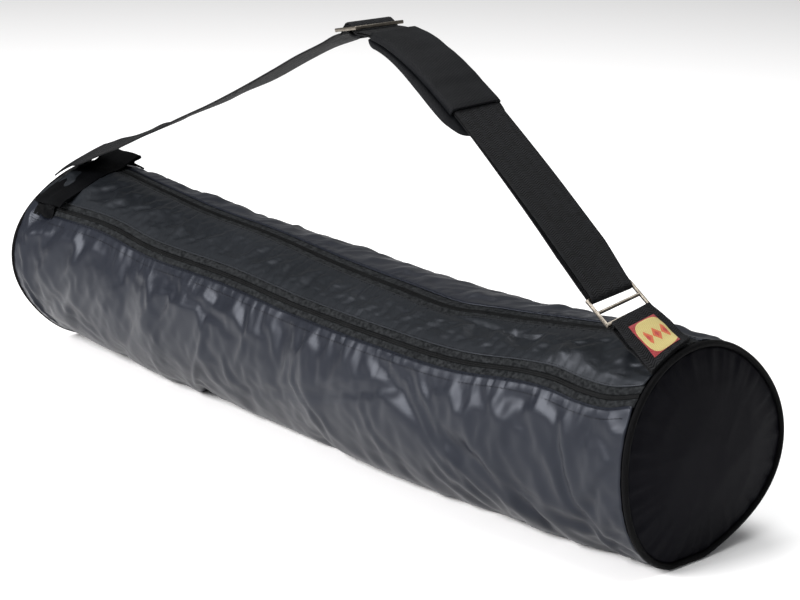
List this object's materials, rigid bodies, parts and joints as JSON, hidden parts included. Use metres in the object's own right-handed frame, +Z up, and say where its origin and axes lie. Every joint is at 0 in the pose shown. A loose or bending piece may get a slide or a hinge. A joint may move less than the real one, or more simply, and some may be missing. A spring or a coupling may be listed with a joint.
{
  "type": "yoga mat bag",
  "caption": "Long round soft bag for a rolled exercise mat, zipped along its length, with a webbing shoulder strap and a pad.",
  "frame": {"origin": "on the floor, under the bag, midway between its two ends", "axes": "+X along the bag towards the end with the patch, -Y to the front zip's side, +Z up"},
  "size_m": [0.7052, 0.1657, 0.3189],
  "materials": {
    "body_nylon": "glossy charcoal nylon with fine wrinkles",
    "top_nylon": "satin black nylon with fine wrinkles",
    "end_nylon": "satin black nylon",
    "zip_tape": "matt black woven tape",
    "zip_coil": "dull black moulded coil",
    "zip_slider": "black enamelled",
    "piping": "matt black corded edge",
    "band_cloth": "satin black cloth",
    "webbing": "matt black ribbed webbing",
    "pad_cloth": "smooth black cloth over foam",
    "nickel": "satin nickel plate",
    "patch": "woven patch in cream, red and orange"
  },
  "bodies": {
    "root": {"body_panel": "body_nylon", "top_panel": "top_nylon", "front_zip_lower_tape": "zip_tape", "front_zip_upper_tape": "zip_tape", "rear_zip_lower_tape": "zip_tape", "rear_zip_upper_tape": "zip_tape", "front_zip_coil": "zip_coil", "rear_zip_coil": "zip_coil", "front_zip_slider": "zip_slider", "left_end_panel": "end_nylon", "right_end_panel": "end_nylon", "left_piping": "piping", "right_piping": "piping", "left_band": "band_cloth", "right_tab": "webbing", "shoulder_strap": "webbing", "tab_patch": "patch", "lower_buckle": "nickel", "upper_buckle": "nickel", "pad_body": "pad_cloth", "pad_sleeve": "pad_cloth"}
  },
  "joints": []
}
